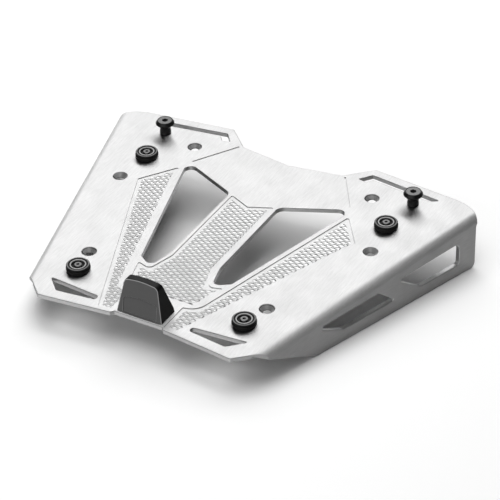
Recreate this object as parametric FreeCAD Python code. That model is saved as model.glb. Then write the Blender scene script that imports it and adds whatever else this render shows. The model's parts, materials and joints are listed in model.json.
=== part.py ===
import FreeCAD, Part
import math
import os

# Mounting plate for a motorbike top case, in millimetres.
# The origin is on the underside of the sheet, halfway along its length and on its mirror plane.
# X points to the right of the bike, Y forwards, Z up. The left half mirrors the right half.

V = FreeCAD.Vector
UP = V(0, 0, 1)
MIRROR = (V(0, 0, 0), V(1, 0, 0))

# Sheet and its two bent-down side flanges
SHEET = 4.0
BEND_INSIDE_R = 3.5
FLANGE_ANGLE = 15.4
FLANGE_REAR_X = 110.0
FLANGE_REAR_AHEAD = 16.0
FLANGE_FRONT_SETBACK = 24.5
FLANGE_DEPTH_REAR = 35.3
FLANGE_DEPTH_FRONT = 51.2
FLANGE_TOE = 59.0
FLANGE_RAKE = 27.0
FLANGE_CORNER_R = 5.0
FLANGE_FLARE_R = 5.0
FLANGE_TOE_R = 4.0

# Plan outline of the top. Setbacks run from its foremost point, the rest from its rearmost point
LENGTH = 282.0
FRONT_SETBACK = 28.6
NOTCH_X = 48.4
NOTCH_SETBACK = 21.2
NOTCH_R = 5.0
EAR_X = 70.5
EAR_R = 2.5
SHOULDER_INSET = 11.0
SHOULDER_SETBACK = 11.5
SHOULDER_R = 41.0
SHOULDER_ANGLE = 47.0
REAR_CORNER_X = 88.6
REAR_CORNER_R = 2.0
REAR_CHAMFER_ANGLE = 42.3
REAR_INNER_AHEAD = 7.0
CATCH_EDGE_AHEAD = 9.8
CATCH_EDGE_HALF = 22.0
CATCH_EDGE_STEP = 2.6
EDGE_ROUND = 0.8

# Triangular openings, with the raised ribs beside them
OPENING_INNER_X = 23.6
OPENING_INNER_SETBACK = 88.4
OPENING_OUTER_X = 80.7
OPENING_OUTER_SETBACK = 62.8
OPENING_KINK_AHEAD = 96.4
OPENING_TIP_X = 29.1
OPENING_TIP_AHEAD = 73.8
OPENING_END_X = 42.4
OPENING_END_AHEAD = 82.5
OPENING_INNER_R = 8.0
OPENING_OUTER_R = 6.0
OPENING_KINK_R = 12.0
OPENING_TIP_R = 5.0
OPENING_END_R = 3.0
INNER_RIB = 3.4
OUTER_RIB = 4.7

# Recessed strips with a raised diamond tread
STRIP_DEPTH = 0.6
STRIP_CORNER_R = 1.5
CENTRE_TOP_SETBACK = 90.5
CENTRE_VEE_SETBACK = 99.5
CENTRE_END_AHEAD = 42.0
CENTRE_END_R = 10.0
SIDE_TOP_SETBACK = 74.0
SIDE_OUTER_X = 105.0
SIDE_OUTER_SETBACK = 105.7
SIDE_REAR_X = 36.9
SIDE_REAR_AHEAD = 9.0
SIDE_INNER_X = 23.6
SIDE_SHELF_AHEAD = 38.2
SIDE_SHELF_R = 14.0
DIAMOND_PITCH_X = 8.7
DIAMOND_PITCH_Y = 4.8
DIAMOND_GAP = 0.5
DIAMOND_ROOT = 1.5
TREAD_MARGIN = 3.4
TREAD_SPILL = 1.0

# Single grooves beside the front edge
GROOVE_FRONT_X = 52.5
GROOVE_FRONT_SETBACK = 23.2
GROOVE_REAR_X = 76.3
GROOVE_REAR_SETBACK = 61.0
GROOVE_WIDTH = 1.6
GROOVE_DEPTH = 0.6

# Strap slots as corners: across, setback or distance ahead, corner radius
FRONT_SLOT = (
    (72.2, 8.5, 2.0),
    (139.4, 17.8, 0.8),
    (132.0, 22.2, 1.5),
    (75.4, 14.8, 1.5),
    (70.9, 20.5, 1.0),
    (63.6, 19.3, 0.8),
)
REAR_SLOT = (
    (43.6, 20.1, 2.2),
    (91.5, 24.0, 0.8),
    (77.9, 11.1, 2.0),
    (43.6, 15.2, 2.2),
)

# Flange windows as corners: share of the flange's length from its rear, depth, corner radius
REAR_WINDOW = (
    (0.2535, 9.8, 2.0),
    (0.5174, 13.1, 3.0),
    (0.5968, 30.4, 1.2),
    (0.3501, 25.8, 4.0),
    (0.2595, 13.9, 1.8),
)
FRONT_WINDOW = (
    (0.6228, 13.4, 1.2),
    (0.9002, 16.4, 2.0),
    (0.9166, 21.3, 2.0),
    (0.9166, 38.3, 3.0),
    (0.7226, 34.2, 4.0),
    (0.6275, 17.0, 1.2),
)

# Countersunk holes for the screws to the rack
RACK_HOLE_R = 3.3
RACK_SINK_R = 6.5
RACK_FRONT_X = 87.1
RACK_FRONT_SETBACK = 40.5
RACK_MIDDLE_X = 120.7
RACK_MIDDLE_SETBACK = 109.3
RACK_REAR_X = 83.4
RACK_REAR_AHEAD = 67.3

# Front studs
STUD_X = 121.7
STUD_SETBACK = 32.9
STUD_HEIGHT = 13.6
STUD_HEAD_R = 8.25
STUD_STEM_R = 5.0
STUD_FOOT_BEVEL = 0.4
STUD_NECK_R = 4.5
STUD_NECK_Z = 6.2
STUD_RIM_Z = 10.4
STUD_RIM_HEIGHT = 1.0
STUD_TOP_R = 6.7
STUD_SCREW_R = 3.0
STUD_SCREW_HEAD_R = 6.0
STUD_SOCKET = 5.0
STUD_SOCKET_DEPTH = 3.0

# Rubber buffers
BUFFER_FRONT_X = 116.4
BUFFER_FRONT_SETBACK = 72.6
BUFFER_REAR_X = 77.3
BUFFER_REAR_AHEAD = 42.2
BUFFER_R = 9.7
BUFFER_BULGE = 0.35
BUFFER_HEIGHT = 5.8
BUFFER_GROOVE_Z = 3.6
BUFFER_GROOVE_HALF = 0.6
BUFFER_EDGE = 0.7
BUFFER_RIM_R = 8.7
BUFFER_RING_R = 6.2
BUFFER_RING_HALF = 0.35
BUFFER_RELIEF = 0.5
BUFFER_WELL_R = 5.3
BUFFER_WELL_DEPTH = 1.9
BUFFER_SCREW_R = 2.0
BUFFER_SCREW_HEAD_R = 3.3
BUFFER_SCREW_HEAD = 1.6
BUFFER_SOCKET = 2.5
BUFFER_SOCKET_DEPTH = 1.1

# Rear catch
CATCH_AHEAD = 11.5
CATCH_DEPTH = 19.8
CATCH_HEIGHT = 31.0
CATCH_HALF = 20.9
CATCH_TOP_HALF = 15.2
CATCH_CROWN = 1.9
CATCH_CROWN_R = 60.0
CATCH_CORNER_R = 5.0
CATCH_REAR_LEAN = 6.2
CATCH_TOP_DEPTH = 6.0
CATCH_TOE = 3.2
CATCH_EDGE_R = 1.0
CATCH_INLAY_HALF = 15.2
CATCH_INLAY_HEIGHT = 16.3
CATCH_INLAY_CROWN = 2.8
CATCH_INLAY_CORNER_R = 2.0
CATCH_INLAY_DEPTH = 0.6
CATCH_INLAY_ROUND = 0.4
CATCH_SCREW_R = 2.5
CATCH_SCREW_HEAD_R = 4.75
CATCH_SCREW_HEAD = 3.0
CATCH_SCREW_BITE = 10.0
CATCH_SCREW_X = 11.0
CATCH_SCREW_AHEAD = 11.0
CATCH_SOCKET = 3.0
CATCH_SOCKET_DEPTH = 1.8

# Nuts, washers and their fits
STUD_WASHER_R = 6.0
STUD_WASHER = 1.6
STUD_NUT_FLATS = 10.0
STUD_NUT = 5.0
BUFFER_WASHER_R = 4.5
BUFFER_WASHER = 0.8
BUFFER_NUT_FLATS = 7.0
BUFFER_NUT = 3.2
CATCH_WASHER_R = 5.0
CATCH_WASHER = 1.0
SCREW_PROUD = 1.5
SCREW_BEVEL = 0.4
NUT_BEVEL_ANGLE = 30.0
THREAD_FIT = 0.05
HOLE_FIT = 0.2
WASHER_FIT = 0.2

# Room that the cutting shapes run past the sheet, and the smallest length told apart
BEYOND = 40.0
OVERCUT = 1.0
SMALL = 1e-4


def fore(setback):
    """A place along the plate, from its foremost point back."""
    return LENGTH / 2 - setback


def aft(ahead):
    """A place along the plate, from its rearmost point forwards."""
    return ahead - LENGTH / 2


# Values that follow from the sizes above
TOP = SHEET
BEND_OUTSIDE_R = BEND_INSIDE_R + SHEET
ALONG = V(math.sin(math.radians(FLANGE_ANGLE)), math.cos(math.radians(FLANGE_ANGLE)), 0)
OUTWARD = V(ALONG.y, -ALONG.x, 0)
FLANGE_REAR = V(FLANGE_REAR_X, aft(FLANGE_REAR_AHEAD), 0)
FLANGE_LENGTH = (fore(FLANGE_FRONT_SETBACK) - FLANGE_REAR.y) / ALONG.y
FLANGE_FRONT = FLANGE_REAR + ALONG * FLANGE_LENGTH
OPENING_RUN = fore(OPENING_OUTER_SETBACK) - aft(OPENING_END_AHEAD)
OPENING_TAPER = math.atan((OPENING_OUTER_X - OPENING_END_X) / OPENING_RUN)
CATCH_REAR_Y = aft(CATCH_AHEAD)


def plan(x, y):
    return V(x, y, 0)


def on_flange(along, depth):
    """A point of the flange's outer face: along it from its rear, and deep below the top face."""
    return FLANGE_REAR + ALONG * along + UP * (TOP - depth)


def rounded_wire(corners, place=plan):
    """A closed wire through (x, y, radius) corners, each one rounded by a tangent arc."""
    points = [place(x, y) for x, y, _ in corners]
    count = len(points)
    starts = []
    arcs = []
    ends = []
    for i, (_, _, radius) in enumerate(corners):
        here = points[i]
        to_last = points[i - 1] - here
        to_next = points[(i + 1) % count] - here
        half = to_last.getAngle(to_next) / 2
        to_last.normalize()
        to_next.normalize()
        reach = radius / math.tan(half)
        starts.append(here + to_last * reach)
        ends.append(here + to_next * reach)
        inward = to_last + to_next
        if radius > 0 and inward.Length > SMALL:
            inward.normalize()
            middle = here + inward * (radius / math.sin(half) - radius)
            arcs.append(Part.Arc(starts[i], middle, ends[i]).toShape())
        else:
            arcs.append(None)
    edges = []
    for i in range(count):
        if arcs[i] is not None:
            edges.append(arcs[i])
        following = starts[(i + 1) % count]
        if ends[i].distanceToPoint(following) > SMALL:
            edges.append(Part.LineSegment(ends[i], following).toShape())
    return Part.Wire(edges)


def prism(corners, low, high):
    """An upright prism over a rounded plan outline."""
    face = Part.Face(rounded_wire(corners))
    face.translate(UP * low)
    return face.extrude(UP * (high - low))


def flange_prism(corners, inner, outer):
    """A prism across the flange, from a side-view outline."""
    face = Part.Face(rounded_wire(corners, on_flange))
    face.translate(OUTWARD * -inner)
    return face.extrude(OUTWARD * (inner + outer))


def mirrored(shape):
    return shape.mirror(*MIRROR)


def both(shape):
    return [shape, mirrored(shape)]


def other_side(corners):
    """The left half of an outline, in the order that goes on from its right half."""
    return tuple((-x, y, radius) for x, y, radius in reversed(corners))


def turned(profile, x=0.0, y=0.0, z=0.0):
    """A solid of revolution about a vertical axis, from (radius, height) points."""
    points = [V(radius, 0, height) for radius, height in profile]
    face = Part.Face(Part.makePolygon(points + points[:1]))
    solid = face.revolve(V(0, 0, 0), UP, 360)
    solid.translate(V(x, y, z))
    return solid


def hexagon(flats, low, high):
    """An upright hexagonal prism on the Z axis."""
    radius = flats / math.sqrt(3)
    corners = []
    for i in range(6):
        turn = math.radians(60 * i)
        corners.append((radius * math.cos(turn), radius * math.sin(turn), 0))
    return prism(corners, low, high)


def opening_edge_x(y):
    """The outer edge of a triangular opening, extended fore and aft."""
    return OPENING_OUTER_X - (fore(OPENING_OUTER_SETBACK) - y) * math.tan(OPENING_TAPER)


def rib_edge_x(y):
    """The outer edge of the rib beside that opening."""
    return opening_edge_x(y) + OUTER_RIB / math.cos(OPENING_TAPER)


# Folded sheet
def wing():
    """The bend and flange of the right side, trimmed to the flange's side outline."""
    deep = -FLANGE_DEPTH_FRONT - BEYOND
    turn = math.sin(math.radians(45))
    hub = TOP - BEND_OUTSIDE_R

    def section(inward, z):
        return FLANGE_REAR - OUTWARD * inward - ALONG * BEYOND + UP * z

    def bend_point(radius):
        return section(BEND_OUTSIDE_R - radius * turn, hub + radius * turn)

    edges = [
        Part.LineSegment(section(0, deep), section(0, hub)).toShape(),
        Part.Arc(section(0, hub), bend_point(BEND_OUTSIDE_R), section(BEND_OUTSIDE_R, TOP)).toShape(),
        Part.LineSegment(section(BEND_OUTSIDE_R, TOP), section(BEND_OUTSIDE_R, 0)).toShape(),
        Part.Arc(section(BEND_OUTSIDE_R, 0), bend_point(BEND_INSIDE_R), section(SHEET, hub)).toShape(),
        Part.LineSegment(section(SHEET, hub), section(SHEET, deep)).toShape(),
        Part.LineSegment(section(SHEET, deep), section(0, deep)).toShape(),
    ]
    strip = Part.Face(Part.Wire(edges)).extrude(ALONG * (FLANGE_LENGTH + 2 * BEYOND))
    rake = math.tan(math.radians(FLANGE_RAKE))
    side = (
        (FLANGE_TOE - (FLANGE_DEPTH_REAR + SHEET) / rake, -SHEET, 0),
        (FLANGE_TOE, FLANGE_DEPTH_REAR, FLANGE_TOE_R),
        (FLANGE_LENGTH, FLANGE_DEPTH_FRONT, FLANGE_CORNER_R),
        (FLANGE_LENGTH, BEND_OUTSIDE_R, FLANGE_FLARE_R),
        (FLANGE_LENGTH + BEYOND, -SHEET, 0),
    )
    return strip.common(flange_prism(side, BEND_OUTSIDE_R + OVERCUT, OVERCUT))


def top_slab():
    """The flat top between the two bends."""
    rear = FLANGE_REAR - OUTWARD * BEND_OUTSIDE_R - ALONG * BEYOND
    front = rear + ALONG * (FLANGE_LENGTH + 2 * BEYOND)
    corners = ((rear.x, rear.y, 0), (front.x, front.y, 0), (-front.x, front.y, 0), (-rear.x, rear.y, 0))
    return prism(corners, 0, TOP)


def plan_outline():
    """The plan outline, clockwise from the middle of the front edge."""
    shoulder = math.radians(SHOULDER_ANGLE)
    shoulder_x = FLANGE_FRONT.x - SHOULDER_INSET
    shoulder_y = fore(SHOULDER_SETBACK)
    chamfer = math.radians(REAR_CHAMFER_ANGLE)
    right = (
        (NOTCH_X, fore(NOTCH_SETBACK), NOTCH_R),
        (EAR_X, fore(0), EAR_R),
        (shoulder_x, shoulder_y, SHOULDER_R),
        (shoulder_x + BEYOND * math.cos(shoulder), shoulder_y - BEYOND * math.sin(shoulder), 0),
        (REAR_CORNER_X + BEYOND, aft(BEYOND * math.tan(chamfer)), 0),
        (REAR_CORNER_X, aft(0), REAR_CORNER_R),
        (CATCH_EDGE_HALF + CATCH_EDGE_STEP, aft(REAR_INNER_AHEAD), 0),
        (CATCH_EDGE_HALF, aft(CATCH_EDGE_AHEAD), 0),
    )
    return ((0, fore(FRONT_SETBACK), 0),) + right + other_side(right)


def outer_skin(sheet):
    """The faces of the upper and outer side: the top, the bends and the flanges' outer faces."""
    skin = []
    for face in sheet.Faces:
        middle = face.CenterOfMass
        reach = (V(abs(middle.x), middle.y, middle.z) - FLANGE_REAR) * OUTWARD
        if isinstance(face.Surface, Part.Cylinder):
            bent = abs(face.Surface.Axis * UP) < SMALL
            if bent and abs(face.Surface.Radius - BEND_OUTSIDE_R) < SMALL:
                skin.append(face)
        elif abs(middle.z - TOP) < SMALL or abs(reach) < SMALL:
            skin.append(face)
    return skin


def skin_border(sheet):
    """The edges where that side ends."""
    counted = {}
    for face in outer_skin(sheet):
        for edge in face.Edges:
            counted.setdefault(edge.hashCode(), []).append(edge)
    return [edges[0] for edges in counted.values() if len(edges) == 1]


def round_border(sheet, chosen):
    """Rounds the chosen edges of that border."""
    return sheet.makeFillet(EDGE_ROUND, [edge for edge in skin_border(sheet) if chosen(edge.CenterOfMass)])


def folded_sheet():
    """The sheet with its outline cut and rounded: the flanges first, then the front and rear edges."""
    outline = prism(plan_outline(), -FLANGE_DEPTH_FRONT - BEYOND, TOP + OVERCUT)
    sheet = top_slab().fuse(both(wing())).removeSplitter().common(outline)
    sheet = round_border(sheet, lambda middle: middle.z < -BEND_OUTSIDE_R)
    sheet = round_border(sheet, lambda middle: middle.z > TOP - SMALL and middle.y > 0)
    return round_border(sheet, lambda middle: middle.z > TOP - SMALL and middle.y < 0)


def cut_openings(sheet):
    """The triangular openings, strap slots and flange windows, rounded on the upper and outer side."""
    holes = []
    for corners in (opening_corners(), front_slot_corners(), rear_slot_corners()):
        holes += both(prism(corners, -OVERCUT, TOP + OVERCUT))
    for window in (REAR_WINDOW, FRONT_WINDOW):
        corners = [(share * FLANGE_LENGTH, depth, radius) for share, depth, radius in window]
        holes += both(flange_prism(corners, SHEET + OVERCUT, OVERCUT))
    return round_border(
        sheet.cut(holes),
        lambda middle: any(hole.isInside(middle, SMALL, True) for hole in holes))


def opening_corners():
    end_y = aft(OPENING_END_AHEAD)
    return (
        (OPENING_INNER_X, fore(OPENING_INNER_SETBACK), OPENING_INNER_R),
        (OPENING_OUTER_X, fore(OPENING_OUTER_SETBACK), OPENING_OUTER_R),
        (OPENING_END_X, end_y, OPENING_END_R),
        (OPENING_TIP_X, aft(OPENING_TIP_AHEAD), OPENING_TIP_R),
        (OPENING_INNER_X, aft(OPENING_KINK_AHEAD), OPENING_KINK_R),
    )


def front_slot_corners():
    return tuple((x, fore(setback), radius) for x, setback, radius in FRONT_SLOT)


def rear_slot_corners():
    return tuple((x, aft(ahead), radius) for x, ahead, radius in REAR_SLOT)


# Tread strips
def centre_strip_corners():
    inner = OPENING_INNER_X - INNER_RIB
    tip_y = aft(OPENING_TIP_AHEAD) - INNER_RIB
    side_y = aft(OPENING_END_AHEAD) - OUTER_RIB - INNER_RIB
    end_y = aft(CENTRE_END_AHEAD)
    right = (
        (inner, fore(CENTRE_TOP_SETBACK), STRIP_CORNER_R),
        (inner, aft(OPENING_KINK_AHEAD) - INNER_RIB / 2, OPENING_KINK_R),
        (OPENING_TIP_X - INNER_RIB / 2, tip_y, OPENING_TIP_R),
        (opening_edge_x(side_y), side_y, STRIP_CORNER_R),
        (opening_edge_x(end_y), end_y, CENTRE_END_R),
    )
    return ((0, fore(CENTRE_VEE_SETBACK), 0),) + right + other_side(right)


def side_strip_corners():
    top_y = fore(SIDE_TOP_SETBACK)
    rear_y = aft(SIDE_REAR_AHEAD)
    shelf_y = aft(SIDE_SHELF_AHEAD)
    inner_y = shelf_y + (rib_edge_x(shelf_y) - SIDE_INNER_X) * math.tan(OPENING_TAPER)
    return (
        (rib_edge_x(top_y), top_y, STRIP_CORNER_R),
        (SIDE_OUTER_X, fore(SIDE_OUTER_SETBACK), STRIP_CORNER_R),
        (SIDE_REAR_X, rear_y, STRIP_CORNER_R),
        (SIDE_INNER_X, rear_y, STRIP_CORNER_R),
        (SIDE_INNER_X, shelf_y, STRIP_CORNER_R),
        (rib_edge_x(inner_y), inner_y, SIDE_SHELF_R),
    )


def inset(corners, margin):
    """The same outline, drawn in by a margin on every side. The corners run clockwise."""
    drawn = []
    count = len(corners)
    for i, (x, y, _) in enumerate(corners):
        here = V(x, y, 0)
        before = here - V(corners[i - 1][0], corners[i - 1][1], 0)
        after = V(corners[(i + 1) % count][0], corners[(i + 1) % count][1], 0) - here
        before.normalize()
        after.normalize()
        lean = before.cross(UP) + after.cross(UP)
        drawn.append(here + lean * (margin / (1 + before * after)))
    return tuple((point.x, point.y, 0) for point in drawn)


def within(x, y, corners):
    """Whether a plan point lies inside an outline."""
    inside = False
    for i, (x1, y1, _) in enumerate(corners):
        x0, y0, _ = corners[i - 1]
        if (y0 > y) != (y1 > y) and x < x0 + (y - y0) * (x1 - x0) / (y1 - y0):
            inside = not inside
    return inside


def diamond():
    """One raised diamond: a low pyramid, run on below the strip's floor."""
    half_x = (DIAMOND_PITCH_X / 2 - DIAMOND_GAP) * DIAMOND_ROOT
    half_y = half_x * DIAMOND_PITCH_Y / DIAMOND_PITCH_X
    low = TOP - STRIP_DEPTH * DIAMOND_ROOT
    base = [V(half_x, 0, low), V(0, half_y, low), V(-half_x, 0, low), V(0, -half_y, low)]
    peak = V(0, 0, TOP)
    faces = [Part.Face(Part.makePolygon(base + base[:1]))]
    for i in range(4):
        faces.append(Part.Face(Part.makePolygon([base[i - 1], base[i], peak, base[i - 1]])))
    return Part.Solid(Part.Shell(faces))


def tread_tool(corners):
    """What a strip takes out of the sheet: its recess, less the diamonds that stand in its field."""
    recess = prism(corners, TOP - STRIP_DEPTH, TOP + OVERCUT)
    field = inset(corners, TREAD_MARGIN)
    middles = inset(corners, TREAD_MARGIN - TREAD_SPILL)
    field_prism = prism(field, 0, TOP + OVERCUT)
    box = recess.BoundBox
    half_x = DIAMOND_PITCH_X / 2
    half_y = DIAMOND_PITCH_Y / 2
    pattern = diamond()
    diamonds = []
    for row in range(math.floor(box.YMin / half_y), math.ceil(box.YMax / half_y) + 1):
        for column in range(math.floor(box.XMin / half_x), math.ceil(box.XMax / half_x) + 1):
            x = column * half_x
            y = row * half_y
            if (row + column) % 2 or not within(x, y, middles):
                continue
            here = pattern.translated(V(x, y, 0))
            tips = ((x + half_x, y), (x - half_x, y), (x, y + half_y), (x, y - half_y))
            if not all(within(tip_x, tip_y, field) for tip_x, tip_y in tips):
                here = here.common(field_prism)
            diamonds.append(here)
    return recess.cut(diamonds)


def groove_tool():
    """A straight groove with round ends."""
    start = V(GROOVE_FRONT_X, fore(GROOVE_FRONT_SETBACK), 0)
    run = V(GROOVE_REAR_X, fore(GROOVE_REAR_SETBACK), 0) - start
    radius = GROOVE_WIDTH / 2
    low = TOP - GROOVE_DEPTH
    high = TOP + OVERCUT
    side = UP.cross(run)
    side.normalize()
    side.multiply(radius)
    corners = [start + side, start - side, start + run - side, start + run + side]
    bar = prism([(corner.x, corner.y, 0) for corner in corners], low, high)
    ends = [Part.makeCylinder(radius, high - low, end + UP * low) for end in (start, start + run)]
    return bar.fuse(ends)


# Places of the bolted-on pieces
def pair(x, y):
    return ((x, y), (-x, y))


def stud_places():
    return pair(STUD_X, fore(STUD_SETBACK))


def buffer_places():
    front = pair(BUFFER_FRONT_X, fore(BUFFER_FRONT_SETBACK))
    rear = pair(BUFFER_REAR_X, aft(BUFFER_REAR_AHEAD))
    return front + rear


def catch_screw_places():
    return pair(CATCH_SCREW_X, CATCH_REAR_Y + CATCH_SCREW_AHEAD)


def rack_hole_places():
    front = pair(RACK_FRONT_X, fore(RACK_FRONT_SETBACK))
    middle = pair(RACK_MIDDLE_X, fore(RACK_MIDDLE_SETBACK))
    rear = pair(RACK_REAR_X, aft(RACK_REAR_AHEAD))
    return front + middle + rear


def at_each(shape, places):
    """A group of copies of one solid."""
    return Part.makeCompound([shape.translated(V(x, y, 0)) for x, y in places])


def plate():
    sink = (
        (0, -OVERCUT),
        (RACK_HOLE_R, -OVERCUT),
        (RACK_HOLE_R, TOP - (RACK_SINK_R - RACK_HOLE_R)),
        (RACK_SINK_R + OVERCUT, TOP + OVERCUT),
        (0, TOP + OVERCUT),
    )
    tools = [turned(sink, x, y) for x, y in rack_hole_places()]
    for radius, places in (
        (STUD_SCREW_R, stud_places()),
        (BUFFER_SCREW_R, buffer_places()),
        (CATCH_SCREW_R, catch_screw_places()),
    ):
        for x, y in places:
            tools.append(Part.makeCylinder(radius + HOLE_FIT, SHEET + 2 * OVERCUT, V(x, y, -OVERCUT)))
    tools += both(groove_tool())
    sheet = cut_openings(folded_sheet()).cut(tools)
    return sheet.cut([tread_tool(centre_strip_corners())] + both(tread_tool(side_strip_corners())))


# Studs, buffers and catch
def stud():
    """A mushroom stud, with a countersunk seat for its screw."""
    bore = STUD_SCREW_R + HOLE_FIT
    seat = STUD_SCREW_HEAD_R + HOLE_FIT
    profile = (
        (bore, 0),
        (STUD_STEM_R - STUD_FOOT_BEVEL, 0),
        (STUD_STEM_R, STUD_FOOT_BEVEL),
        (STUD_STEM_R, STUD_NECK_Z / 2),
        (STUD_NECK_R, STUD_NECK_Z),
        (STUD_HEAD_R, STUD_RIM_Z),
        (STUD_HEAD_R, STUD_RIM_Z + STUD_RIM_HEIGHT),
        (STUD_TOP_R, STUD_HEIGHT),
        (seat, STUD_HEIGHT),
        (bore, STUD_HEIGHT - (seat - bore)),
    )
    return turned(profile, z=TOP)


def stud_screw():
    """A countersunk screw with a hexagon socket, down through the stud, plate, washer and nut."""
    end = -STUD_WASHER - STUD_NUT - SCREW_PROUD
    top = TOP + STUD_HEIGHT - HOLE_FIT
    body = turned((
        (0, end),
        (STUD_SCREW_R - SCREW_BEVEL, end),
        (STUD_SCREW_R, end + SCREW_BEVEL),
        (STUD_SCREW_R, top - (STUD_SCREW_HEAD_R - STUD_SCREW_R)),
        (STUD_SCREW_HEAD_R, top),
        (0, top),
    ))
    return body.cut(hexagon(STUD_SOCKET, top - STUD_SOCKET_DEPTH, top + OVERCUT))


def buffer():
    """A rubber buffer with a bulged foot, a groove round its side, a ringed top and a screw well."""
    bore = BUFFER_SCREW_R + HOLE_FIT
    high = BUFFER_HEIGHT
    rim = high - BUFFER_RELIEF
    floor = high - BUFFER_WELL_DEPTH
    foot = BUFFER_R + BUFFER_BULGE
    ring_top = high - BUFFER_RELIEF / 2
    profile = (
        (bore, 0),
        (BUFFER_R - BUFFER_BULGE, 0),
        (foot, BUFFER_GROOVE_Z / 2 - BUFFER_GROOVE_HALF / 2),
        (foot, BUFFER_GROOVE_Z - BUFFER_GROOVE_HALF),
        (BUFFER_R - BUFFER_BULGE, BUFFER_GROOVE_Z),
        (BUFFER_R, BUFFER_GROOVE_Z + BUFFER_GROOVE_HALF),
        (BUFFER_R, high - BUFFER_EDGE),
        (BUFFER_R - BUFFER_EDGE, high),
        (BUFFER_RIM_R - BUFFER_RING_HALF, high),
        (BUFFER_RIM_R - BUFFER_RING_HALF - BUFFER_RELIEF, rim),
        (BUFFER_RING_R + BUFFER_RING_HALF + BUFFER_RELIEF / 2, rim),
        (BUFFER_RING_R + BUFFER_RING_HALF, ring_top),
        (BUFFER_RING_R - BUFFER_RING_HALF, ring_top),
        (BUFFER_WELL_R, floor),
        (bore, floor),
    )
    return turned(profile, z=TOP)


def buffer_screw():
    """A socket screw on the floor of the buffer's well, down through the plate, washer and nut."""
    seat = TOP + BUFFER_HEIGHT - BUFFER_WELL_DEPTH
    end = -BUFFER_WASHER - BUFFER_NUT - SCREW_PROUD
    top = seat + BUFFER_SCREW_HEAD
    body = turned((
        (0, end),
        (BUFFER_SCREW_R - SCREW_BEVEL, end),
        (BUFFER_SCREW_R, end + SCREW_BEVEL),
        (BUFFER_SCREW_R, seat),
        (BUFFER_SCREW_HEAD_R, seat),
        (BUFFER_SCREW_HEAD_R, top - SCREW_BEVEL),
        (BUFFER_SCREW_HEAD_R - SCREW_BEVEL, top),
        (0, top),
    ))
    return body.cut(hexagon(BUFFER_SOCKET, top - BUFFER_SOCKET_DEPTH, top + OVERCUT))


def washer(screw_r, outer_r, thick):
    """A washer against the underside of the sheet."""
    return turned((
        (screw_r + WASHER_FIT, -thick),
        (outer_r, -thick),
        (outer_r, 0),
        (screw_r + WASHER_FIT, 0),
    ))


def nut(screw_r, flats, high, washer_thick):
    """A hexagon nut, bevelled at its corners, below its washer."""
    top = -washer_thick
    corner = flats / math.sqrt(3)
    bevel = (corner - flats / 2) * math.tan(math.radians(NUT_BEVEL_ANGLE))
    cone = turned((
        (screw_r + THREAD_FIT, top - high),
        (flats / 2, top - high),
        (corner, top - high + bevel),
        (corner, top - bevel),
        (flats / 2, top),
        (screw_r + THREAD_FIT, top),
    ))
    return cone.common(hexagon(flats, top - high, top))


def catch():
    """The catch: a leaning wedge, cut from its side view and its rear view, with an arched inlay."""
    low = TOP
    high = TOP + CATCH_HEIGHT
    rear = CATCH_REAR_Y
    front = CATCH_REAR_Y + CATCH_DEPTH
    top_rear = rear + CATCH_REAR_LEAN
    lean = CATCH_REAR_LEAN / CATCH_HEIGHT

    def side_view(y, z):
        return V(-CATCH_HALF - OVERCUT, y, z)

    def rear_view(x, z):
        return V(x, rear - OVERCUT, z)

    def across(corners):
        return Part.Face(rounded_wire(corners, side_view)).extrude(V(2 * (CATCH_HALF + OVERCUT), 0, 0))

    def lengthwise(corners):
        return Part.Face(rounded_wire(corners, rear_view)).extrude(V(0, CATCH_DEPTH + 2 * OVERCUT, 0))

    def arched(half, top_half, base, crown_height, crown, corner_r):
        right = ((half, base, 0), (top_half, crown - crown_height, corner_r))
        return right + ((0, crown, CATCH_CROWN_R),) + other_side(right)

    wedge = across((
        (rear, low, 0),
        (top_rear, high, 0),
        (top_rear + CATCH_TOP_DEPTH, high, 0),
        (front, low + CATCH_TOE, 0),
        (front, low, 0),
    ))
    outline = arched(CATCH_HALF, CATCH_TOP_HALF, low, CATCH_CROWN, high, CATCH_CORNER_R)
    body = wedge.common(lengthwise(outline))
    rounds = [edge for edge in body.Edges if edge.BoundBox.ZMax > low + SMALL]
    body = body.makeFillet(CATCH_EDGE_R, rounds)

    behind = across((
        (rear - OVERCUT, low - OVERCUT, 0),
        (rear + CATCH_INLAY_DEPTH - lean * OVERCUT, low - OVERCUT, 0),
        (top_rear + CATCH_INLAY_DEPTH + lean * OVERCUT, high + OVERCUT, 0),
        (rear - OVERCUT, high + OVERCUT, 0),
    ))
    inlay_top = low + CATCH_INLAY_HEIGHT
    inlay = arched(
        CATCH_INLAY_HALF, CATCH_INLAY_HALF, low - OVERCUT,
        CATCH_INLAY_CROWN, inlay_top, CATCH_INLAY_CORNER_R)
    body = body.cut(behind.common(lengthwise(inlay)))
    rim = []
    for edge in body.Edges:
        middle = edge.CenterOfMass
        on_rear_face = abs(middle.y - rear - lean * (middle.z - low)) < SMALL
        if on_rear_face and low + SMALL < middle.z < inlay_top and abs(middle.x) < CATCH_INLAY_HALF + SMALL:
            rim.append(edge)
    body = body.makeFillet(CATCH_INLAY_ROUND, rim)
    bore = CATCH_SCREW_R + THREAD_FIT
    for x, y in catch_screw_places():
        body = body.cut(Part.makeCylinder(bore, CATCH_SCREW_BITE + OVERCUT, V(x, y, low)))
    return body


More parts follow.
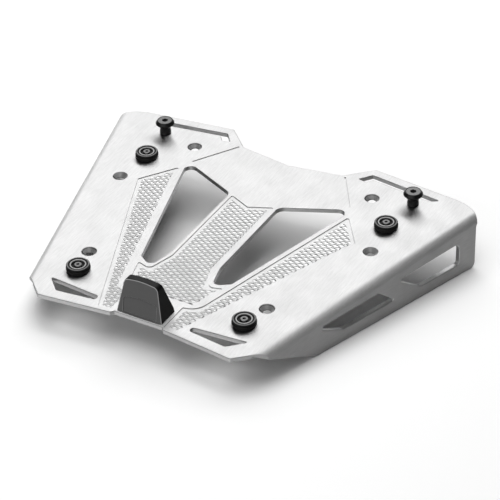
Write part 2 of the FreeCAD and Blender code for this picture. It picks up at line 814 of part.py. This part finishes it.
def catch_screw():
    """A socket screw, up through its washer and the plate into the catch."""
    seat = -CATCH_WASHER
    end = TOP + CATCH_SCREW_BITE
    low = seat - CATCH_SCREW_HEAD
    body = turned((
        (0, low),
        (CATCH_SCREW_HEAD_R - SCREW_BEVEL, low),
        (CATCH_SCREW_HEAD_R, low + SCREW_BEVEL),
        (CATCH_SCREW_HEAD_R, seat),
        (CATCH_SCREW_R, seat),
        (CATCH_SCREW_R, end - SCREW_BEVEL),
        (CATCH_SCREW_R - SCREW_BEVEL, end),
        (0, end),
    ))
    return body.cut(hexagon(CATCH_SOCKET, low - OVERCUT, low + CATCH_SOCKET_DEPTH))


def build():
    nodes = {"plate": plate(), "catch": catch()}
    for name, (x, y) in zip(("right_stud", "left_stud"), stud_places()):
        nodes[name] = stud().translated(V(x, y, 0))
    nodes["stud_screws"] = at_each(stud_screw(), stud_places())
    nodes["stud_washers"] = at_each(washer(STUD_SCREW_R, STUD_WASHER_R, STUD_WASHER), stud_places())
    nodes["stud_nuts"] = at_each(nut(STUD_SCREW_R, STUD_NUT_FLATS, STUD_NUT, STUD_WASHER), stud_places())
    places = buffer_places()
    names = ("front_right_buffer", "front_left_buffer", "rear_right_buffer", "rear_left_buffer")
    for name, (x, y) in zip(names, places):
        nodes[name] = buffer().translated(V(x, y, 0))
    nodes["buffer_screws"] = at_each(buffer_screw(), places)
    nodes["buffer_washers"] = at_each(washer(BUFFER_SCREW_R, BUFFER_WASHER_R, BUFFER_WASHER), places)
    nodes["buffer_nuts"] = at_each(nut(BUFFER_SCREW_R, BUFFER_NUT_FLATS, BUFFER_NUT, BUFFER_WASHER), places)
    nodes["catch_screws"] = at_each(catch_screw(), catch_screw_places())
    nodes["catch_washers"] = at_each(
        washer(CATCH_SCREW_R, CATCH_WASHER_R, CATCH_WASHER), catch_screw_places())
    return nodes


os.makedirs("parts", exist_ok=True)
for node, shape in build().items():
    shape.exportStep("parts/" + node + ".step")
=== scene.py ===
import json
import math
from typing import NamedTuple

import bpy
from mathutils import Matrix, Vector


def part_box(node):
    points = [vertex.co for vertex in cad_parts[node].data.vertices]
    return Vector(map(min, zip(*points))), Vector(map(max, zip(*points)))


# Looks of a top case mounting plate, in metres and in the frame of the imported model.

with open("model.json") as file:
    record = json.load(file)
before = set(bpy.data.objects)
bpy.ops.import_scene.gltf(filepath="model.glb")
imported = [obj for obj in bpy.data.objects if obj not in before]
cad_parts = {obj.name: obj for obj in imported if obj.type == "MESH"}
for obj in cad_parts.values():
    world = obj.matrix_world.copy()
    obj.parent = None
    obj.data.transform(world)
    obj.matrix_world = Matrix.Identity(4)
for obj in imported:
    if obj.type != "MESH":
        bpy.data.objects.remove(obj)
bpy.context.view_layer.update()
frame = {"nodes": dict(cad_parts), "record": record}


class Grain(NamedTuple):
    """A fine grain: its noise, the roughness that it gives a surface, and its bump."""
    scale: float
    detail: float
    gain: float
    roughness: tuple
    bump: float
    depth: float


def grey(level):
    return (level, level, level)


# Camera, fitted to the photograph: angles in degrees, the azimuth from straight behind
CAMERA_AZIMUTH = 30.88
CAMERA_ELEVATION = 35.83
CAMERA_ROLL = -2.03
CAMERA_DISTANCE = 1.6787
CAMERA_TARGET = Vector((0.0326, -0.0115, 0.0040))
SENSOR = 36.0
LENS = 148.2

# Floor: it slopes with the lower edges of the flanges, which stand on it. It is white where it is
# seen or mirrored, and greyer in the light that it gives to matt faces, from FIRST_BOUNCE on
FLOOR_SLOPE = -4.92
FLOOR_POINT = Vector((0.0, -0.0681, -0.0315))
FLOOR_SIZE = 12.0
FLOOR_SEEN = 1.0
FLOOR_BOUNCE = 0.40
FIRST_BOUNCE = 0.5

# Softboxes: name, azimuth from straight ahead, elevation, width, height, level
WORLD_LEVEL = 0.02
LAMP_DISTANCE = 1.7
SOFTBOXES = (
    ("front_strip", -18.0, 36.0, 2.2, 0.8, 2.3),
    ("front_box", -20.0, 62.0, 1.4, 0.7, 2.2),
    ("top_box", -90.0, 86.0, 1.6, 1.4, 2.45),
    ("rear_box", 180.0, 57.0, 1.6, 0.6, 1.15),
    ("rear_strip", 182.0, 30.0, 2.2, 0.6, 1.85),
)

# Spans of a factor: nearly all of one noise, nearly all of two added up, and none to all
NOISE_SPAN = (0.3, 0.7)
TWO_NOISES_SPAN = (0.7, 1.3)
WHOLE_SPAN = (0.0, 1.0)

# Sheet: streaks that are long along Y, and wider clouds. Faces that lie flatter than LYING have
# their streaks spaced along X, and upright ones along Z
SHEET_GRAIN = Grain(
    scale=1.0, detail=4.0, gain=0.7, roughness=(0.36, 0.44), bump=0.10, depth=0.0002,
)
STREAK_SCALE = (1100.0, 90.0, 1100.0)
CLOUD_SCALE = 60.0
CLOUD_DETAIL = 3.0
CLOUD_GAIN = 0.5
SHEET_TONES = (0.50, 0.625)
SHEET_ANISOTROPY = 0.92
LYING = 0.5

# Keeps the tangent from vanishing on faces that look along Y
TANGENT_NUDGE = 0.001

# Flanges: the painted shade that darkens them, the roughness that they add, and how far a face
# turns sideways for both
FLANGE_PAINTED_SHADE = 0.85
FLANGE_ROUGHNESS = 0.15
FLANGE_TURN = (0.3, 0.95)

# Tread: slanted faces above TREAD_LOWEST and within TREAD_REACH of the middle. Its diamonds turn
# from a painted shade at the foot to a painted highlight above, between the heights of
# DIAMOND_FOOT
SHEET_UNDERSIDE = 0.0
SHEET_TOP = 0.0040
TREAD_DEPTH = 0.0006
TREAD_LOWEST = SHEET_TOP - 1.3 * TREAD_DEPTH
TREAD_REACH = 0.100
TREAD_SLANT = 0.985
DIAMOND_FOOT = (SHEET_TOP - TREAD_DEPTH, SHEET_TOP - 0.68 * TREAD_DEPTH)
DIAMOND_PAINTED_SHADE_AND_HIGHLIGHT = (0.15, 1.12)

# Countersinks: the slanted faces within a radius of the rack holes, which get a painted shade
MM_PER_M = 1000
COUNTERSINK_R = 0.0066
COUNTERSINK_SLANT = 0.9
COUNTERSINK_PAINTED_SHADE = 0.55

# Catch: tones of the rear face and of the rest, and a painted highlight on the rounded edges
# between them, by how far a face turns from the rear (-1) to the sides (0)
CATCH_GRAIN = Grain(
    scale=2600.0, detail=2.0, gain=0.6, roughness=(0.34, 0.46), bump=0.15, depth=0.0001,
)
CATCH_TONES = (0.135, 0.004)
CATCH_TURN = (-0.96, -0.86)
CATCH_PAINTED_HIGHLIGHT = 0.45
CATCH_HIGHLIGHT_START = (-0.96, -0.92)
CATCH_HIGHLIGHT_END = (-0.75, -0.55)
CATCH_SPECULAR = 0.12

# Studs
STUD_GRAIN = Grain(
    scale=1400.0, detail=3.0, gain=0.5, roughness=(0.28, 0.38), bump=0.06, depth=0.0001,
)
STUD_TONES = (grey(0.004), grey(0.010))
STUD_SPECULAR = 0.25

# Screws of the studs and buffers: the grain has a share in the bump, beside the thread
SCREW_GRAIN = Grain(
    scale=1800.0, detail=3.0, gain=0.5, roughness=(0.34, 0.48), bump=0.5, depth=0.0002,
)
SCREW_TONES = (grey(0.12), grey(0.17))
SCREW_GRAIN_SHARE = 0.2
THREAD_PITCH = 0.0009

# Buffers: each ring of painted highlight on the top face as radius and strength, which fades out
# across
# RING_EDGE. FAR is further than any place on the plate is from a buffer or a hole
BUFFERS = ("front_left_buffer", "front_right_buffer", "rear_left_buffer", "rear_right_buffer")
BUFFER_GRAIN = Grain(
    scale=2200.0, detail=3.0, gain=0.6, roughness=(0.46, 0.60), bump=0.20, depth=0.0001,
)
BUFFER_TONE_AND_HIGHLIGHT = (grey(0.005), grey(0.50))
BUFFER_SPECULAR = 0.15
BUFFER_RING_HIGHLIGHTS = ((0.0062, 0.9), (0.0087, 0.4))
RING_HALF = 0.0007
RING_EDGE = (0.4 * RING_HALF, RING_HALF)
RING_FACING_UP = 0.3
FAR = 1.0

# Nuts, washers and the catch's screws
ZINC_GRAIN = Grain(
    scale=900.0, detail=4.0, gain=0.6, roughness=(0.28, 0.42), bump=0.08, depth=0.0001,
)
ZINC_TONES = ((0.50, 0.51, 0.53), (0.64, 0.64, 0.66))


# Nodes
class Shader:
    """A material with a principled shader, and short ways to add nodes in front of it."""

    def __init__(self, name):
        self.material = bpy.data.materials.new(name)
        self.material.use_nodes = True
        self.tree = self.material.node_tree
        self.surface = self.tree.nodes["Principled BSDF"]

    def add(self, kind, inputs=None, **settings):
        node = self.tree.nodes.new("ShaderNode" + kind)
        for name, value in settings.items():
            setattr(node, name, value)
        for key, value in (inputs or {}).items():
            self.put(node.inputs[key], value)
        return node

    def put(self, socket, value):
        if isinstance(value, bpy.types.NodeSocket):
            self.tree.links.new(value, socket)
        else:
            socket.default_value = value

    def set(self, **values):
        for name, value in values.items():
            self.put(self.surface.inputs[name.replace("_", " ")], value)

    def math(self, operation, first, second=0.0):
        return self.add("Math", {0: first, 1: second}, operation=operation).outputs[0]

    def product(self, first, *others):
        for other in others:
            first = self.math("MULTIPLY", first, other)
        return first

    def below(self, value, limit):
        return self.math("LESS_THAN", value, limit)

    def above(self, value, limit):
        return self.math("GREATER_THAN", value, limit)

    def position(self):
        return self.add("TexCoord").outputs["Object"]

    def normal(self):
        return self.parts(self.add("NewGeometry").outputs["Normal"])

    def parts(self, vector):
        return self.add("SeparateXYZ", {0: vector}).outputs

    def vector(self, x, y, z):
        return self.add("CombineXYZ", {0: x, 1: y, 2: z}).outputs[0]

    def noise(self, vector, scale, detail, gain):
        inputs = {"Vector": vector, "Scale": scale, "Detail": detail, "Roughness": gain}
        return self.add("TexNoise", inputs).outputs["Fac"]

    def grain(self, grain):
        """Gives the surface the roughness of a fine grain, and returns its noise."""
        noise = self.noise(self.position(), grain.scale, grain.detail, grain.gain)
        self.set(Roughness=self.spread(noise, grain.roughness))
        return noise

    def spread(self, factor, levels, span=NOISE_SPAN):
        inputs = {
            "Value": factor,
            "From Min": span[0],
            "From Max": span[1],
            "To Min": levels[0],
            "To Max": levels[1],
        }
        return self.add("MapRange", inputs).outputs[0]

    def tint(self, factor, tones, span=NOISE_SPAN):
        ramp = self.add("ValToRGB", {0: factor})
        for element, painted_light, position in zip(ramp.color_ramp.elements, tones, span):
            element.position = position
            element.color = (*painted_light, 1.0)
        return ramp.outputs[0]

    def away(self, places):
        """The distance in plan from the nearest of some places."""
        inputs = {0: self.position(), 1: (1.0, 1.0, 0.0)}
        plan = self.add("VectorMath", inputs, operation="MULTIPLY").outputs[0]
        nearest = FAR
        for x, y in places:
            inputs = {0: plan, 1: (x, y, 0.0)}
            distance = self.add("VectorMath", inputs, operation="DISTANCE").outputs["Value"]
            nearest = self.math("MINIMUM", distance, nearest)
        return nearest

    def bump(self, height, grain):
        inputs = {"Height": height, "Strength": grain.bump, "Distance": grain.depth}
        self.set(Normal=self.add("Bump", inputs).outputs[0])


# Materials
def countersinks():
    """Places in plan of the countersunk holes, from the mounts of the record."""
    for mount in frame["record"]["mounts"]:
        if mount["kind"] == "bolt_pattern":
            x, y = mount["pos_m"][:2]
            half = mount["dims"]["spacing_x_mm"] / (2 * MM_PER_M)
            yield x - half, y
            yield x + half, y


def buffer_middles():
    """Places in plan of the buffers."""
    for name in BUFFERS:
        low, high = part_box(name)
        yield (low.x + high.x) / 2, (low.y + high.y) / 2


def brushed_aluminium():
    """Brushed along each face: rougher on the flanges, with painted shade on the flanges and in
    the countersinks, and with painted shade at the foot of the tread diamonds and a painted
    highlight above."""
    shader = Shader("brushed_aluminium")
    x, y, z = shader.parts(shader.position())
    normal_x, _, normal_z = shader.normal()
    sideways = shader.math("ABSOLUTE", normal_x)
    lying = shader.math("ABSOLUTE", normal_z)

    place = shader.vector(shader.product(x, shader.above(lying, LYING)), y, z)
    stretched = shader.add("Mapping", {"Vector": place, "Scale": STREAK_SCALE}).outputs[0]
    streaks = shader.noise(stretched, SHEET_GRAIN.scale, SHEET_GRAIN.detail, SHEET_GRAIN.gain)
    clouds = shader.noise(shader.position(), CLOUD_SCALE, CLOUD_DETAIL, CLOUD_GAIN)

    tread = shader.product(
        shader.above(z, TREAD_LOWEST),
        shader.below(lying, TREAD_SLANT),
        shader.below(shader.math("ABSOLUTE", x), TREAD_REACH),
    )
    # Where the painted shade of the countersinks goes
    countersink_shade_mask = shader.product(
        shader.below(shader.away(countersinks()), COUNTERSINK_R),
        shader.below(normal_z, COUNTERSINK_SLANT),
    )
    # Painted light: painted shade and highlight on the tread diamonds, painted shade in the
    # countersinks and on the flanges
    painted_light = shader.product(
        shader.math("POWER", shader.spread(z, DIAMOND_PAINTED_SHADE_AND_HIGHLIGHT, DIAMOND_FOOT), tread),
        shader.spread(countersink_shade_mask, (1.0, COUNTERSINK_PAINTED_SHADE), WHOLE_SPAN),
        shader.spread(sideways, (1.0, FLANGE_PAINTED_SHADE), FLANGE_TURN),
    )
    rough = shader.math("ADD", streaks, clouds)
    rough = shader.spread(rough, SHEET_GRAIN.roughness, TWO_NOISES_SPAN)
    rougher = shader.spread(sideways, (0.0, FLANGE_ROUGHNESS), FLANGE_TURN)
    downhill = shader.math("SUBTRACT", TANGENT_NUDGE, normal_x)
    shader.set(
        Base_Color=shader.product(shader.spread(streaks, SHEET_TONES), painted_light),
        Metallic=1.0,
        Roughness=shader.math("ADD", rough, rougher),
        Anisotropic=SHEET_ANISOTROPY,
        Tangent=shader.vector(normal_z, 0.0, downhill),
    )
    shader.bump(streaks, SHEET_GRAIN)
    return shader.material


def catch_plastic():
    """Black moulded plastic: greyer at the rear, with a painted highlight along the rear edges.
    """
    shader = Shader("catch_plastic")
    turn = shader.normal()[1]
    grain = shader.grain(CATCH_GRAIN)
    # Painted highlight on the rounded edges between the rear face and the rest
    edge_highlight = shader.product(
        shader.spread(turn, (0.0, CATCH_PAINTED_HIGHLIGHT), CATCH_HIGHLIGHT_START),
        shader.spread(turn, (1.0, 0.0), CATCH_HIGHLIGHT_END),
    )
    shader.set(
        Base_Color=shader.math("ADD", shader.spread(turn, CATCH_TONES, CATCH_TURN), edge_highlight),
        Specular_IOR_Level=CATCH_SPECULAR,
    )
    shader.bump(grain, CATCH_GRAIN)
    return shader.material


def black_steel():
    shader = Shader("black_steel")
    grain = shader.grain(STUD_GRAIN)
    shader.set(Base_Color=shader.tint(grain, STUD_TONES), Specular_IOR_Level=STUD_SPECULAR)
    shader.bump(grain, STUD_GRAIN)
    return shader.material


def dark_screw():
    """Blackened steel, with thread rings on the ends that come out under the plate."""
    shader = Shader("dark_screw")
    grain = shader.grain(SCREW_GRAIN)
    z = shader.parts(shader.position())[2]
    turns = shader.math("SINE", shader.product(z, 2 * math.pi / THREAD_PITCH))
    thread = shader.product(turns, shader.below(z, SHEET_UNDERSIDE))
    shader.set(Base_Color=shader.tint(grain, SCREW_TONES), Metallic=1.0)
    shader.bump(shader.math("ADD", thread, shader.product(grain, SCREW_GRAIN_SHARE)), SCREW_GRAIN)
    return shader.material


def buffer_rubber():
    """Black rubber, with a painted highlight along its two top rings."""
    shader = Shader("buffer_rubber")
    grain = shader.grain(BUFFER_GRAIN)
    radius = shader.away(buffer_middles())
    rings = 0.0
    for ring_radius, highlight in BUFFER_RING_HIGHLIGHTS:
        beside = shader.math("ABSOLUTE", shader.math("SUBTRACT", radius, ring_radius))
        rings = shader.math("ADD", shader.spread(beside, (highlight, 0.0), RING_EDGE), rings)
    # Painted highlight along the two top rings, on faces that face up
    ring_highlights = shader.product(rings, shader.above(shader.normal()[2], RING_FACING_UP))
    shader.set(
        Base_Color=shader.tint(ring_highlights, BUFFER_TONE_AND_HIGHLIGHT, WHOLE_SPAN),
        Specular_IOR_Level=BUFFER_SPECULAR,
    )
    shader.bump(grain, BUFFER_GRAIN)
    return shader.material


def zinc_steel():
    shader = Shader("zinc_steel")
    grain = shader.grain(ZINC_GRAIN)
    shader.set(Base_Color=shader.tint(grain, ZINC_TONES), Metallic=1.0)
    shader.bump(grain, ZINC_GRAIN)
    return shader.material


def dress_nodes():
    """Every node of the model takes the material of its slot."""
    materials = {
        "brushed_aluminium": brushed_aluminium(),
        "catch_plastic": catch_plastic(),
        "black_steel": black_steel(),
        "dark_screw": dark_screw(),
        "buffer_rubber": buffer_rubber(),
        "zinc_steel": zinc_steel(),
    }
    for subpart in frame["record"]["subparts"]:
        mesh = frame["nodes"][subpart["node"]].data
        mesh.materials.clear()
        mesh.materials.append(materials[subpart["material_slot"]])


# Stage
def direction(azimuth, elevation):
    """A unit vector from angles in degrees, the azimuth from straight ahead."""
    around = math.radians(azimuth)
    rise = math.radians(elevation)
    return Vector((
        math.sin(around) * math.cos(rise),
        math.cos(around) * math.cos(rise),
        math.sin(rise),
    ))


def floor():
    half = FLOOR_SIZE / 2
    corners = [(-half, -half, 0), (half, -half, 0), (half, half, 0), (-half, half, 0)]
    mesh = bpy.data.meshes.new("floor")
    mesh.from_pydata(corners, [], [(0, 1, 2, 3)])
    piece = bpy.data.objects.new("floor", mesh)
    bpy.context.scene.collection.objects.link(piece)
    slope = Matrix.Rotation(math.radians(FLOOR_SLOPE), 4, "X")
    piece.matrix_world = Matrix.Translation(FLOOR_POINT) @ slope
    shader = Shader("pale_floor")
    path = shader.add("LightPath").outputs
    seen = shader.math("MAXIMUM", path["Is Camera Ray"], path["Is Glossy Ray"])
    seen = shader.math("MAXIMUM", seen, path["Is Transmission Ray"])
    seen = shader.product(seen, shader.below(path["Diffuse Depth"], FIRST_BOUNCE))
    shader.set(
        Base_Color=shader.tint(seen, (grey(FLOOR_BOUNCE), grey(FLOOR_SEEN)), WHOLE_SPAN),
        Roughness=1.0,
        Specular_IOR_Level=0.0,
    )
    mesh.materials.append(shader.material)


def lights():
    world = bpy.data.worlds.new("studio")
    world.use_nodes = True
    background = world.node_tree.nodes["Background"]
    background.inputs["Color"].default_value = (1.0, 1.0, 1.0, 1.0)
    background.inputs["Strength"].default_value = WORLD_LEVEL
    bpy.context.scene.world = world

    for name, azimuth, elevation, width, height, level in SOFTBOXES:
        lamp = bpy.data.lights.new(name, "AREA")
        lamp.shape = "RECTANGLE"
        lamp.size = width
        lamp.size_y = height
        lamp.energy = level * math.pi * width * height
        box = bpy.data.objects.new(name, lamp)
        bpy.context.scene.collection.objects.link(box)
        back = direction(azimuth, elevation)
        box.location = back * LAMP_DISTANCE
        box.rotation_euler = back.to_track_quat("Z", "Y").to_euler()


def camera():
    back = direction(180 - CAMERA_AZIMUTH, CAMERA_ELEVATION)
    right = Vector((0, 0, 1)).cross(back).normalized()
    right = Matrix.Rotation(math.radians(CAMERA_ROLL), 3, back) @ right
    above = back.cross(right)
    lens = bpy.data.cameras.new("photo_view")
    lens.sensor_width = SENSOR
    lens.lens = LENS
    view = bpy.data.objects.new("photo_view", lens)
    bpy.context.scene.collection.objects.link(view)
    turn = Matrix((right, above, back)).transposed().to_4x4()
    view.matrix_world = Matrix.Translation(CAMERA_TARGET + back * CAMERA_DISTANCE) @ turn
    bpy.context.scene.camera = view


dress_nodes()
floor()
lights()
camera()
bpy.context.scene.view_settings.view_transform = "Standard"
